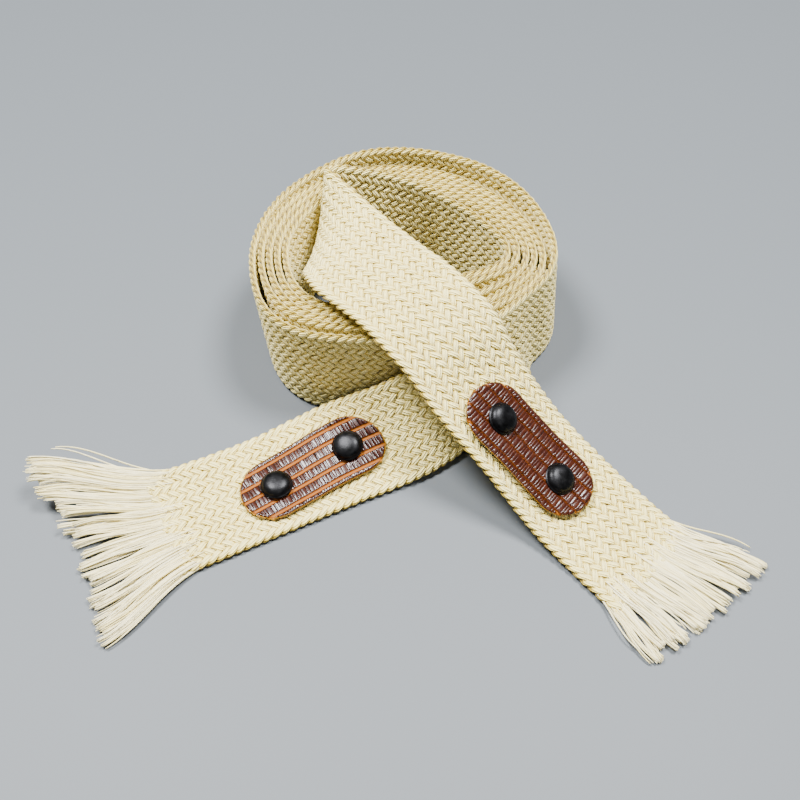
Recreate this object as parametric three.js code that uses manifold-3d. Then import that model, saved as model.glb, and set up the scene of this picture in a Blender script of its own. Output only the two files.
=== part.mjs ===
// A cotton belt for martial arts: a flat braided band, wound on its edge into a roll, with both free
// ends drawn out to the front.  Each end carries a stadium-shaped leather patch, held by two domed
// rivets, and finishes in a fringe of loose strands.
//
// Millimetres, +Z up.  The origin is under the middle of the whole object, on the table.

import * as THREE from 'three';
import { mergeVertices } from 'three/addons/utils/BufferGeometryUtils.js';
import Module from 'manifold-3d';

const wasm = await Module();
wasm.setup();

// ---------------------------------------------------------------- driving dimensions

const bandWidth = 40;
const bandThickness = 2.6;
const clearance = 0.3;                          // between pieces that touch
const seatClearance = 0.4;                      // under a rivet's cap, where the leather bends a little
const rollCentre = new THREE.Vector3(4.6, 47.35, 0.1);
const rollLean = new THREE.Vector3(-0.08, 0.02, 1);   // the standing turns lean a little to the left
const stepDegrees = 10;                         // one station of the wound band
const stretchStep = 5;                          // and of the free stretches
const columns = [20, 15, 10, 0, -20];           // points across the band's width, upper edge first

const patchLength = 53.5;
const patchWidth = 23;
const patchThickness = 1.4;
const rivetSpacing = 28.2;
// Middle of each patch from its fringe line and from the middle of the band, and its turn in degrees.
const patchPlaces = {
  outer: { middle: 53, across: -1.6, turn: 7.5 },
  inner: { middle: 57.2, across: -2.2, turn: -5 },
};

const capDiameter = 10.8;
const capHeight = 3.4;
const capRimHeight = 0.9;
const capRimStep = 0.5;
const socketDepth = 2;
const postDiameter = 3;
const backDiameter = 9.6;
const backThickness = 0.7;
const roundSides = 24;

const hingeFromFringe = { outer: 86, inner: 107 };    // where each free end bends up from the rest

// Radius of the band's middle at its upper edge, every 30 degrees from 15 degrees, anticlockwise
// from +X.  The first turn lies loose round the others, the next four are wound tightly, and the
// last one is a loose oval loop inside them.
const turnRadii = [
  [51.5, 49.5, 48.0, 49.2, 48.5, 51.0, 55.0, 58.9, 50.9, 48.3, 49.0, 54.2],
  [43.5, 38.5, 37.4, 38.8, 42.5, 47.5, 51.8, 53.5, 45.5, 42.5, 46.4, 50.6],
  [40.5, 35.6, 34.5, 35.9, 39.6, 44.6, 48.9, 50.5, 42.4, 39.4, 42.8, 47.5],
  [37.5, 32.7, 31.6, 33.0, 36.7, 41.7, 46.0, 47.5, 39.3, 36.3, 38.5, 44.6],
  [34.5, 29.8, 28.7, 30.1, 33.8, 38.8, 43.1, 44.5, 36.2, 32.2, 32.4, 41.2],
  [29.6, 25.6, 24.4, 26.5, 30.0, 36.0, 40.0, 41.0, 33.0, 27.4, 28.8, 37.9],
];
const rollStartAngle = -32;                     // the outer end joins the first turn here
const rollEndAngle = 5 * 360 + 42;              // the loop's back wall begins to rise here
const changeSector = [294, 350];                // degrees on from there, where a turn moves in to the next

// Stations of the free stretches: a point on the band's upper edge, one on its lower edge, and how
// far the border along the upper edge curls up.  Measured from the middle of the roll.
const outerStretch = [
  [[-87.5, -80.8, 1.3], [-69.5, -117.0, 1.3], 3.4],
  [[-69.4, -72.3, 1.3], [-51.6, -108.1, 1.3], 2.0],
  [[-51.3, -63.2, 2.2], [-33.7, -99.2, 1.3], 0.8],
  [[-32.2, -54.2, 6.2], [-15.8, -90.4, 1.3], 0.9],
  [[-19.4, -52.6, 12.2], [-3.4, -84.6, 1.3], 1.8],
  [[-8.2, -52.9, 19.4], [8.4, -78.6, 1.4], 2.2],
  [[3.4, -52.2, 28.8], [19.4, -70.4, 1.4], 1.4],
  [[16.4, -48.2, 35.4], [28.6, -60.6, 1.4], 0.6],
  [[27.5, -41.2, 38.6], [36.8, -50.6, 1.4], 0],
  [[36.2, -34.6, 39.8], [43.6, -39.6, 1.4], 0],
];
const innerStretch = [
  [[93.0, -101.4, 1.5], [65.0, -130.0, 1.5], 0],
  [[80.2, -86.4, 1.9], [51.8, -114.6, 1.8], 0],
  [[68.5, -74.3, 5.2], [40.8, -103.0, 5.6], 0],
  [[51.2, -58.6, 15.4], [25.8, -89.4, 18.8], 0],
  [[37.6, -46.8, 31.8], [9.6, -75.4, 31.4], 0],
  [[31.6, -40.8, 41.6], [2.2, -67.4, 37.8], 0],
  [[24.0, -33.0, 46.2], [-6.2, -59.0, 42.8], 0],
  [[15.8, -23.8, 47.6], [-14.0, -50.0, 44.6], 0],
  [[7.2, -14.9, 47.6], [-22.2, -41.4, 44.4], 0],
  [[-1.2, -6.0, 47.8], [-30.2, -32.8, 43.6], 0],
  [[-9.2, 3.0, 48.4], [-33.9, -24.2, 40.4], 0],
  [[-16.6, 10.8, 49.6], [-35.2, -16.0, 34.0], 0],
  [[-23.2, 17.8, 51.0], [-34.0, -6.4, 26.6], 0],
  [[-27.7, 21.8, 52.4], [-30.8, 3.4, 20.2], 0],
  [[-23.4, 22.9, 52.6], [-24.2, 9.6, 15.0], 0],
  [[-17.6, 23.8, 50.8], [-19.6, 13.0, 12.3], 0],
  [[-10.5, 25.2, 48.0], [-12.4, 16.4, 9.0], 0],
  [[-2.3, 25.7, 45.3], [-3.0, 19.2, 5.8], 0],
  [[6.9, 23.8, 42.7], [7.6, 20.8, 2.8], 0],
  [[13.1, 21.4, 41.2], [15.2, 20.6, 1.3], 0],
];

// Fringe tufts: how far each tip lies out from the fringe line, and how far across from the middle.
const tuftTips = {
  outer: [[35, 33], [34, 26.5], [31, 18], [30, 9], [30, 0], [29, -8.5], [30.5, -17.5], [31.5, -27]],
  inner: [[25.5, 25.5], [26, 17.5], [25.5, 9.5], [24.5, 2], [23.5, -5], [22, -12], [19.5, -19.5]],
};
const tuftThickness = 2.2;
const tuftTipScale = 0.8;
const tuftSteps = 6;
const tuftSides = 8;

const cotton = new THREE.MeshStandardMaterial({ color: 0xece4c4, roughness: 0.9, metalness: 0 });
const looseCotton = new THREE.MeshStandardMaterial({ color: 0xf0ead4, roughness: 0.9, metalness: 0 });
const leather = new THREE.MeshStandardMaterial({ color: 0x6b2c12, roughness: 0.35, metalness: 0 });
const blackMetal = new THREE.MeshStandardMaterial({ color: 0x15171a, roughness: 0.35, metalness: 0.6 });

// ---------------------------------------------------------------- the band's route

// Closed smooth line through values spaced evenly round a circle, read at an angle in degrees.
function roundValue(values, degrees) {
  const n = values.length;
  const place = (((degrees - 15) / 360) * n % n + n) % n;
  const k = Math.floor(place);
  const u = place - k;
  const [a, b, c, d] = [-1, 0, 1, 2].map((j) => values[(k + j + n) % n]);
  return b + 0.5 * u * (c - a + u * (2 * a - 5 * b + 4 * c - d + u * (3 * (b - c) + d - a)));
}

// Station of the wound band: angle counted on from the first turn, 360 degrees to a turn.
function rollStation(angle) {
  const lastTurn = turnRadii.length - 1;
  const wound = angle - rollStartAngle;
  const turn = Math.min(Math.floor(wound / 360), lastTurn);
  const moved = THREE.MathUtils.smoothstep(wound - 360 * turn, ...changeSector);
  const here = roundValue(turnRadii[turn], angle);
  const next = roundValue(turnRadii[Math.min(turn + 1, lastTurn)], angle);
  const radius = THREE.MathUtils.lerp(here, next, moved);
  const a = THREE.MathUtils.degToRad(angle);
  const lean = rollLean.clone().normalize();
  const upper = new THREE.Vector3(radius * Math.cos(a), radius * Math.sin(a), bandWidth * lean.z);
  return { upper, lower: upper.clone().addScaledVector(lean, -bandWidth), curl: 0 };
}

function rollStations() {
  const count = Math.round((rollEndAngle - rollStartAngle) / stepDegrees);
  const step = (rollEndAngle - rollStartAngle) / count;
  return Array.from({ length: count + 1 }, (_, i) => rollStation(rollStartAngle + i * step));
}

// Smooth stations through a hand-set list, about every stretchStep millimetres.
function stretchStations(list) {
  const uppers = list.map(([upper]) => new THREE.Vector3(...upper));
  const lowers = list.map(([, lower]) => new THREE.Vector3(...lower));
  const upperLine = new THREE.CatmullRomCurve3(uppers, false, 'centripetal');
  const lowerLine = new THREE.CatmullRomCurve3(lowers, false, 'centripetal');
  const last = list.length - 1;
  const stations = [];
  for (let k = 0; k < last; k++) {
    const length = (uppers[k].distanceTo(uppers[k + 1]) + lowers[k].distanceTo(lowers[k + 1])) / 2;
    const parts = Math.max(1, Math.round(length / stretchStep));
    for (let i = 0; i < parts; i++) {
      const t = (k + i / parts) / last;
      const curl = THREE.MathUtils.lerp(list[k][2], list[k + 1][2], i / parts);
      stations.push({ upper: upperLine.getPoint(t), lower: lowerLine.getPoint(t), curl });
    }
  }
  stations.push({ upper: uppers[last], lower: lowers[last], curl: list[last][2] });
  return stations;
}

// The whole band, from the outer fringe line through the roll to the inner fringe line.  Each frame
// has the middle of the band, its direction along, its direction across towards the upper edge, the
// normal of the outer face, the length s of band before it, and the straight span between its edges,
// which is a little less than the band's width where the section is bowed.
function bandFrames() {
  const stations = [
    ...stretchStations(outerStretch),
    ...rollStations(),
    ...stretchStations(innerStretch).reverse(),
  ];
  const middles = stations.map(({ upper, lower }) => upper.clone().add(lower).multiplyScalar(0.5));
  let s = 0;
  return stations.map(({ upper, lower, curl }, i) => {
    const before = middles[Math.max(i - 1, 0)];
    const after = middles[Math.min(i + 1, middles.length - 1)];
    s += i ? middles[i].distanceTo(before) : 0;
    const across = upper.clone().sub(lower).normalize();
    const along = after.clone().sub(before).addScaledVector(across, -after.clone().sub(before).dot(across));
    along.normalize();
    const span = upper.distanceTo(lower);
    return { s, middle: middles[i], across, along, normal: along.clone().cross(across), curl, span };
  });
}

const frames = bandFrames();
const bandLength = frames.at(-1).s;

// The band's frame at any length s, between two stations.
function frameAt(s) {
  const k = Math.max(1, frames.findIndex((frame) => frame.s >= s - 1e-6));
  const [a, b] = [frames[k - 1], frames[k]];
  const u = (s - a.s) / (b.s - a.s);
  const mix = (key) => a[key].clone().lerp(b[key], u);
  const across = mix('across').normalize();
  const along = mix('along').addScaledVector(across, -mix('along').dot(across)).normalize();
  const curl = THREE.MathUtils.lerp(a.curl, b.curl, u);
  const span = THREE.MathUtils.lerp(a.span, b.span, u);
  return { s, middle: mix('middle'), across, along, normal: along.clone().cross(across), curl, span };
}

// Point on the band at t millimetres across it and n millimetres out from its middle surface.
function bandPoint(frame, t, n) {
  const lift = frame.curl * (Math.max(t, 0) / (bandWidth / 2)) ** 2;
  const reach = t * frame.span / bandWidth;
  return frame.middle.clone().addScaledVector(frame.across, reach).addScaledVector(frame.normal, n + lift);
}

// ---------------------------------------------------------------- solids

// Closed solid through rings of equal count.  Each ring runs anticlockwise as seen from the far end
// of the sweep, its first half along one side and its second half back along the other.
function sweepSolid(rings) {
  const size = rings[0].length;
  const last = (rings.length - 1) * size;
  const index = [];
  const quad = (a, b, c, d) => index.push(a, b, c, a, c, d);
  for (let i = 0; i < last; i += size) {
    for (let j = 0; j < size; j++) {
      const k = (j + 1) % size;
      quad(i + j, i + k, i + size + k, i + size + j);
    }
  }
  for (let j = 0; j < size / 2 - 1; j++) {
    const [a, b, c, d] = [j, j + 1, size - 2 - j, size - 1 - j];
    quad(last + a, last + b, last + c, last + d);
    quad(d, c, b, a);
  }
  const geometry = new THREE.BufferGeometry().setFromPoints(rings.flat());
  geometry.setIndex(index);
  return geometry;
}

// Flat section of the band at a frame, between two heights, at the given places across.
function section(frame, across, low, high) {
  const back = across.slice().reverse();
  return [...across.map((t) => bandPoint(frame, t, high)), ...back.map((t) => bandPoint(frame, t, low))];
}

function bandPiece(from, to) {
  const between = frames.filter(({ s }) => s > from + 1 && s < to - 1);
  const places = [frameAt(from), ...between, frameAt(to)];
  return sweepSolid(places.map((frame) => section(frame, columns, -bandThickness / 2, bandThickness / 2)));
}

function toManifold(geometry) {
  const bare = geometry.clone();
  bare.deleteAttribute('normal');
  bare.deleteAttribute('uv');
  const merged = mergeVertices(bare, 1e-4);
  const vertProperties = new Float32Array(merged.attributes.position.array);
  const triVerts = new Uint32Array(merged.index.array);
  return new wasm.Manifold(new wasm.Mesh({ numProp: 3, vertProperties, triVerts }));
}

function fromManifold(solid) {
  const { vertProperties, triVerts } = solid.getMesh();
  const geometry = new THREE.BufferGeometry();
  geometry.setAttribute('position', new THREE.BufferAttribute(vertProperties, 3));
  geometry.setIndex(new THREE.BufferAttribute(triVerts, 1));
  return geometry;
}

function cut(geometry, cutters) {
  const takeAway = (solid, cutter) => solid.subtract(toManifold(cutter));
  return fromManifold(cutters.reduce(takeAway, toManifold(geometry)));
}

// ---------------------------------------------------------------- leather patches and rivets

// Length and place across the band of a point of a patch, x along the patch and y across it.
function onPatch({ line, inward, middle, across, turn }, x, y) {
  const [c, q] = [Math.cos(THREE.MathUtils.degToRad(turn)), Math.sin(THREE.MathUtils.degToRad(turn))];
  return { s: line + inward * (middle + x * c - y * q), t: across + x * q + y * c };
}

// Stadium-shaped strip of leather that follows the band.
function patchGeometry(place) {
  const radius = patchWidth / 2;
  const straight = patchLength / 2 - radius;
  const halves = [];
  for (let degrees = 10; degrees <= 90; degrees += 16) {
    const a = THREE.MathUtils.degToRad(degrees);
    halves.push([-straight - radius * Math.cos(a), radius * Math.sin(a)]);
  }
  for (let x = -straight + stretchStep; x < straight - 1; x += stretchStep) halves.push([x, radius]);
  for (let degrees = 90; degrees >= 10; degrees -= 16) {
    const a = THREE.MathUtils.degToRad(degrees);
    halves.push([straight + radius * Math.cos(a), radius * Math.sin(a)]);
  }
  const low = bandThickness / 2 + clearance;
  const point = (x, y, n) => {
    const { s, t } = onPatch(place, x, y);
    return bandPoint(frameAt(s), t, n);
  };
  const rings = halves.map(([x, half]) => {
    const side = [half, half / 2, 0, -half / 2, -half];
    const back = side.slice().reverse();
    return [...side.map((y) => point(x, y, low + patchThickness)), ...back.map((y) => point(x, y, low))];
  });
  return sweepSolid(place.inward < 0 ? rings.reverse() : rings);
}

// Turned piece from its profile, standing square on the band where a rivet goes through.
function turned(profile, { s, t }, height) {
  const points = profile.map(([r, h]) => new THREE.Vector2(r, h));
  const geometry = new THREE.LatheGeometry(points, roundSides);
  const seat = capDiameter / 2;
  const along = bandPoint(frameAt(s + seat), t, 0).sub(bandPoint(frameAt(s - seat), t, 0)).normalize();
  const across = bandPoint(frameAt(s), t + seat, 0).sub(bandPoint(frameAt(s), t - seat, 0)).normalize();
  const normal = along.clone().cross(across).normalize();
  const turn = new THREE.Matrix4().makeBasis(along, normal, along.clone().cross(normal));
  turn.setPosition(bandPoint(frameAt(s), t, 0).addScaledVector(normal, height));
  return geometry.applyMatrix4(turn);
}

function disc(diameter, from, to) {
  return [[0, from], [diameter / 2, from], [diameter / 2, to], [0, to]];
}

// Domed cap with a low rim and a blind socket for the post.
function capProfile() {
  const socket = postDiameter / 2 + clearance;
  const radius = capDiameter / 2;
  const dome = radius - capRimStep;
  const profile = [[0, socketDepth], [socket, socketDepth], [socket, 0], [radius, 0], [radius, capRimHeight]];
  for (let degrees = 0; degrees < 90; degrees += 18) {
    const a = THREE.MathUtils.degToRad(degrees);
    profile.push([dome * Math.cos(a), capRimHeight + (capHeight - capRimHeight) * Math.sin(a)]);
  }
  profile.push([0, capHeight]);
  return profile;
}

// Post with the flat back that holds it under the band.
function postProfile(capBase) {
  const top = capBase + socketDepth - clearance + bandThickness / 2;
  const [post, back] = [postDiameter / 2, backDiameter / 2];
  return [[0, 0], [back, 0], [back, backThickness], [post, backThickness], [post, top], [0, top]];
}

// ---------------------------------------------------------------- fringe

// One tuft of loose strands, from its root on the fringe line to a tip lying on the table.
function tuftGeometry(frame, outward, rootAcross, rootWidth, [tipOut, tipAcross]) {
  const root = bandPoint(frame, rootAcross, 0).addScaledVector(outward, clearance);
  const tip = frame.middle.clone().addScaledVector(outward, tipOut).addScaledVector(frame.across, tipAcross);
  tip.z = tuftThickness / 2 - rollCentre.z;
  const knee = root.clone().addScaledVector(outward, tipOut * 0.4);
  const line = new THREE.QuadraticBezierCurve3(root, knee, tip);
  const rings = [];
  for (let i = 0; i <= tuftSteps; i++) {
    const u = i / tuftSteps;
    const point = line.getPoint(u);
    const along = line.getTangent(u);
    const side = frame.normal.clone().cross(along).normalize();
    const scale = THREE.MathUtils.lerp(1, tuftTipScale, u);
    rings.push(Array.from({ length: tuftSides }, (_, k) => {
      const a = ((k + 0.5) / tuftSides) * 2 * Math.PI;
      const reach = scale / Math.cos(Math.PI / tuftSides) / 2;
      return point.clone()
        .addScaledVector(side, rootWidth * reach * Math.cos(a))
        .addScaledVector(frame.normal, tuftThickness * reach * Math.sin(a));
    }));
  }
  return sweepSolid(rings);
}

// ---------------------------------------------------------------- assembly

const belt = new THREE.Group();
belt.position.copy(rollCentre);

function add(name, geometry, material) {
  const mesh = new THREE.Mesh(geometry, material);
  mesh.name = name;
  belt.add(mesh);
}

const ends = {
  outer: { line: 0, inward: 1 },
  inner: { line: bandLength, inward: -1 },
};

for (const [end, { line, inward }] of Object.entries(ends)) {
  const hinge = line + inward * (hingeFromFringe[end] - clearance / 2);
  const patch = { line, inward, ...patchPlaces[end] };
  const rivets = [-rivetSpacing / 2, rivetSpacing / 2].map((x) => onPatch(patch, x, 0));
  const underside = -bandThickness / 2;
  const leatherTop = bandThickness / 2 + clearance + patchThickness;
  const capBase = leatherTop + seatClearance;

  const postHole = disc(postDiameter + 2 * clearance, -bandThickness, bandThickness * 2);
  const backPocket = disc(backDiameter + 2 * clearance, -1, backThickness + clearance);
  const holes = rivets.map((place) => turned(postHole, place, 0));
  const pockets = rivets.map((place) => turned(backPocket, place, underside));
  const piece = bandPiece(Math.min(line, hinge), Math.max(line, hinge));
  add(`band_${end}_end`, cut(piece, [...holes, ...pockets]), cotton);
  add(`leather_patch_${end}`, cut(patchGeometry(patch), holes), leather);
  rivets.forEach((place, k) => {
    add(`rivet_cap_${end}_${k + 1}`, turned(capProfile(), place, capBase), blackMetal);
    add(`rivet_post_${end}_${k + 1}`, turned(postProfile(capBase), place, underside), blackMetal);
  });

  const frame = frameAt(line);
  const outward = frame.along.clone().multiplyScalar(-inward);
  const pitch = bandWidth / tuftTips[end].length;
  tuftTips[end].forEach((tip, k) => {
    const rootAcross = bandWidth / 2 - (k + 0.5) * pitch;
    const geometry = tuftGeometry(frame, outward, rootAcross, pitch - clearance, tip);
    add(`fringe_tuft_${end}_${k + 1}`, geometry, looseCotton);
  });
}

const rollFrom = hingeFromFringe.outer + clearance / 2;
const rollTo = bandLength - hingeFromFringe.inner - clearance / 2;
add('band_roll', bandPiece(rollFrom, rollTo), cotton);

export default belt;
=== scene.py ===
# %% [markdown]
# # A rolled martial arts belt
# The belt is one flat strip of braided cotton, 40 mm wide.  It is wound on its edge into a roll, and
# both free ends come out to the front.  Each end has a leather patch, held by two domed rivets, and
# finishes in a fringe of its own loose strands.
#
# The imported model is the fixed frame.  Everything here is made around it, in metres, and rides on it.

# %% Load the frame
import math

import bpy
import numpy as np
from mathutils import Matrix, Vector


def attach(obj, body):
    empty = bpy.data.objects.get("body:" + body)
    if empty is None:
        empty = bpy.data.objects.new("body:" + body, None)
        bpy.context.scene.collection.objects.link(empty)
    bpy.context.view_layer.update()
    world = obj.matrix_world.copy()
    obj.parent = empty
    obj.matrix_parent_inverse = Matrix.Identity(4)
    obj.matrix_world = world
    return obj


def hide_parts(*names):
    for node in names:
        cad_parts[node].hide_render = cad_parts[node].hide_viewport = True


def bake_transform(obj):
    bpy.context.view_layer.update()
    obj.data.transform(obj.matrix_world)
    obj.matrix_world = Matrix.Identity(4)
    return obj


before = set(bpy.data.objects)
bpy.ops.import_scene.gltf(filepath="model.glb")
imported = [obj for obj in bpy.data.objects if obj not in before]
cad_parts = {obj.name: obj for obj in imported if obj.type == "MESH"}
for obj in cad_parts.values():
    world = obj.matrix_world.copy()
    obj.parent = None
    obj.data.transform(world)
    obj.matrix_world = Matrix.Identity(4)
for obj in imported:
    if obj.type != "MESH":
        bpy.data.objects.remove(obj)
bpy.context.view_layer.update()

MM = 0.001

# %% [markdown]
# ## Camera
# The belt is seen from the front, from well above the table.  The camera comes first.

# %% Camera
VIEW_DOWN = math.radians(52)                       # below the horizon
roll_centre = np.array([4.6, 47.35, 0.1])          # on the table, under the middle of the roll
camera_from_roll = np.array([-1.1, -267.3, 284.7])

camera_data = bpy.data.cameras.new("camera")
camera_data.lens = 45
camera_data.sensor_width = 36
camera = bpy.data.objects.new("camera", camera_data)
camera.location = (roll_centre + camera_from_roll) * MM
camera.rotation_euler = (math.pi / 2 - VIEW_DOWN, 0, 0)
bpy.context.collection.objects.link(camera)
bpy.context.scene.camera = camera
print("camera at", [round(x, 3) for x in camera.location])

# %% [markdown]
# ## The band's route
# The band never leaves its route, so the route is settled before any yarn.  The wound part follows a
# radius for each turn, read at the angle, and the free stretches go through listed stations:
# a point on the upper edge, one on the lower edge, and how far the upper border curls.  Everything
# here is in millimetres from the middle of the roll, as the belt would be measured with a ruler.

# %% Stations of the band
BAND_WIDTH = 40
ROLL_LEAN = np.array([-0.08, 0.02, 1]) / np.linalg.norm([-0.08, 0.02, 1])
TURN_RADII = np.array([                            # one row for each turn, read every 30 degrees
    [51.5, 49.5, 48.0, 49.2, 48.5, 51.0, 55.0, 58.9, 50.9, 48.3, 49.0, 54.2],
    [43.5, 38.5, 37.4, 38.8, 42.5, 47.5, 51.8, 53.5, 45.5, 42.5, 46.4, 50.6],
    [40.5, 35.6, 34.5, 35.9, 39.6, 44.6, 48.9, 50.5, 42.4, 39.4, 42.8, 47.5],
    [37.5, 32.7, 31.6, 33.0, 36.7, 41.7, 46.0, 47.5, 39.3, 36.3, 38.5, 44.6],
    [34.5, 29.8, 28.7, 30.1, 33.8, 38.8, 43.1, 44.5, 36.2, 32.2, 32.4, 41.2],
    [29.6, 25.6, 24.4, 26.5, 30.0, 36.0, 40.0, 41.0, 33.0, 27.4, 28.8, 37.9],
])
READINGS = TURN_RADII.shape[1]
FIRST_READING = 15                                 # degrees
LAST_TURN = len(TURN_RADII) - 1
ROLL_START = -32                                   # degrees
ROLL_END = LAST_TURN * 360 + 42
CHANGE = (294, 350)                                # where a turn moves in to the next

OUTER_STRETCH = [
    ((-87.5, -80.8, 1.3), (-69.5, -117.0, 1.3), 3.4),
    ((-69.4, -72.3, 1.3), (-51.6, -108.1, 1.3), 2.0),
    ((-51.3, -63.2, 2.2), (-33.7, -99.2, 1.3), 0.8),
    ((-32.2, -54.2, 6.2), (-15.8, -90.4, 1.3), 0.9),
    ((-19.4, -52.6, 12.2), (-3.4, -84.6, 1.3), 1.8),
    ((-8.2, -52.9, 19.4), (8.4, -78.6, 1.4), 2.2),
    ((3.4, -52.2, 28.8), (19.4, -70.4, 1.4), 1.4),
    ((16.4, -48.2, 35.4), (28.6, -60.6, 1.4), 0.6),
    ((27.5, -41.2, 38.6), (36.8, -50.6, 1.4), 0),
    ((36.2, -34.6, 39.8), (43.6, -39.6, 1.4), 0),
]
INNER_STRETCH = [
    ((93.0, -101.4, 1.5), (65.0, -130.0, 1.5), 0),
    ((80.2, -86.4, 1.9), (51.8, -114.6, 1.8), 0),
    ((68.5, -74.3, 5.2), (40.8, -103.0, 5.6), 0),
    ((51.2, -58.6, 15.4), (25.8, -89.4, 18.8), 0),
    ((37.6, -46.8, 31.8), (9.6, -75.4, 31.4), 0),
    ((31.6, -40.8, 41.6), (2.2, -67.4, 37.8), 0),
    ((24.0, -33.0, 46.2), (-6.2, -59.0, 42.8), 0),
    ((15.8, -23.8, 47.6), (-14.0, -50.0, 44.6), 0),
    ((7.2, -14.9, 47.6), (-22.2, -41.4, 44.4), 0),
    ((-1.2, -6.0, 47.8), (-30.2, -32.8, 43.6), 0),
    ((-9.2, 3.0, 48.4), (-33.9, -24.2, 40.4), 0),
    ((-16.6, 10.8, 49.6), (-35.2, -16.0, 34.0), 0),
    ((-23.2, 17.8, 51.0), (-34.0, -6.4, 26.6), 0),
    ((-27.7, 21.8, 52.4), (-30.8, 3.4, 20.2), 0),
    ((-23.4, 22.9, 52.6), (-24.2, 9.6, 15.0), 0),
    ((-17.6, 23.8, 50.8), (-19.6, 13.0, 12.3), 0),
    ((-10.5, 25.2, 48.0), (-12.4, 16.4, 9.0), 0),
    ((-2.3, 25.7, 45.3), (-3.0, 19.2, 5.8), 0),
    ((6.9, 23.8, 42.7), (7.6, 20.8, 2.8), 0),
    ((13.1, 21.4, 41.2), (15.2, 20.6, 1.3), 0),
]
HINGE_OUTER = 86                                   # bending lines, from each fringe line
HINGE_INNER = 107
print(len(OUTER_STRETCH), "and", len(INNER_STRETCH), "stations on the free stretches")

# %% [markdown]
# Two smooth lines are needed: one round the roll and one through the stations.  Both are Catmull-Rom
# curves, which pass through their points, so what was measured stays where it was measured.

# %% Smooth lines
def round_radius(values, degrees):
    """One turn's radius at any angle, through its readings."""
    place = (degrees - FIRST_READING) / 360 * READINGS % READINGS
    k = np.floor(place).astype(int)
    u = place - k
    a, b, c, d = (values[(k + j) % READINGS] for j in (-1, 0, 1, 2))
    return b + 0.5 * u * (c - a + u * (2 * a - 5 * b + 4 * c - d + u * (3 * (b - c) + d - a)))


def smoothstep(low, high, x):
    u = np.clip((x - low) / (high - low), 0, 1)
    return u * u * (3 - 2 * u)


def roll_edges(step=2.5):
    """Upper and lower edge of the wound band, a few degrees apart."""
    angles = np.arange(ROLL_START, ROLL_END + 0.1, step)
    wound = angles - ROLL_START
    turn = np.minimum(wound // 360, LAST_TURN).astype(int)
    rings = np.array([round_radius(values, angles) for values in TURN_RADII])
    here = rings[turn, np.arange(len(angles))]
    following = rings[np.minimum(turn + 1, LAST_TURN), np.arange(len(angles))]
    radius = here + (following - here) * smoothstep(*CHANGE, wound - 360 * turn)
    a = np.radians(angles)
    top = np.full(len(a), BAND_WIDTH * ROLL_LEAN[2])
    upper = np.stack([radius * np.cos(a), radius * np.sin(a), top], 1)
    return upper, upper - BAND_WIDTH * ROLL_LEAN, np.zeros(len(a))


PARTS = 8                                          # between two neighbouring stations


def between(near, far, start, end, t):
    """The step that builds a Catmull-Rom line: from near at start to far at end."""
    return near + (far - near) * (t - start) / (end - start)


def through(points):
    """A centripetal Catmull-Rom line through the points, with equal parts between each two."""
    points = np.array(points, float)
    points = np.vstack([2 * points[0] - points[1], points, 2 * points[-1] - points[-2]])
    line = []
    for k in range(1, len(points) - 2):
        p = points[k - 1:k + 3]
        knot = np.concatenate([[0], np.cumsum(np.linalg.norm(np.diff(p, axis=0), axis=1) ** 0.5)])
        for t in knot[1] + (knot[2] - knot[1]) * np.arange(PARTS) / PARTS:
            a = [between(p[i], p[i + 1], knot[i], knot[i + 1], t) for i in range(3)]
            b = [between(a[i], a[i + 1], knot[i], knot[i + 2], t) for i in range(2)]
            line.append(between(b[0], b[1], knot[1], knot[2], t))
    return np.array(line + [points[-2]])


def stretch_edges(stations):
    """Upper edge, lower edge and curl of a free stretch."""
    uppers, lowers, curls = zip(*stations)
    even = np.arange((len(stations) - 1) * PARTS + 1) / PARTS
    return through(uppers), through(lowers), np.interp(even, np.arange(len(stations)), curls)


# %% [markdown]
# The three stretches are joined, resampled every millimetre along the band's middle, and eased a
# little, because cloth has no corners.  From then on a point of the belt is named by where it is on
# the cloth: `s` along it, `t` across it from the middle, and `n` out from its middle surface.

# %% One continuous band
def unit(v):
    return v / np.linalg.norm(v, axis=-1, keepdims=True)


def eased(values, reach):
    """Running mean, weighted to the middle, with the ends held."""
    weights = np.hanning(2 * reach + 3)[1:-1]
    before = 2 * values[:1] - values[reach:0:-1]
    after = 2 * values[-1:] - values[-2:-reach - 2:-1]
    padded = np.concatenate([before, values, after])
    return np.apply_along_axis(lambda v: np.convolve(v, weights / weights.sum(), "valid"), 0, padded)


outer, wound, inner = stretch_edges(OUTER_STRETCH), roll_edges(), stretch_edges(INNER_STRETCH)
upper = np.vstack([outer[0], wound[0], inner[0][::-1]])
lower = np.vstack([outer[1], wound[1], inner[1][::-1]])
curl = np.concatenate([outer[2], wound[2], inner[2][::-1]])


EASE = 3                                           # mm to either side


def resampled(upper, lower, curl):
    """The same band, read every millimetre along its middle."""
    middle = (upper + lower) / 2
    s = np.concatenate([[0], np.cumsum(np.linalg.norm(np.diff(middle, axis=0), axis=1))])
    even = np.linspace(0, s[-1], int(s[-1]) + 1)
    read = lambda v: np.stack([np.interp(even, s, v[:, i]) for i in range(3)], 1)
    return read(upper), read(lower), np.interp(even, s, curl)


upper, lower, curl = resampled(upper, lower, curl)
upper, lower = eased(upper, EASE), eased(lower, EASE)
upper, lower, curl = resampled(upper, lower, curl)

middle = (upper + lower) / 2
band_s = np.concatenate([[0], np.cumsum(np.linalg.norm(np.diff(middle, axis=0), axis=1))])
band_span = np.linalg.norm(upper - lower, axis=1) / BAND_WIDTH
band_across = unit(upper - lower)
band_along = np.gradient(middle, axis=0)
band_along = unit(band_along - (band_along * band_across).sum(1, keepdims=True) * band_across)
band_normal = np.cross(band_along, band_across)
LENGTH = band_s[-1]
print(f"band {LENGTH:.0f} mm from fringe line to fringe line")


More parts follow.
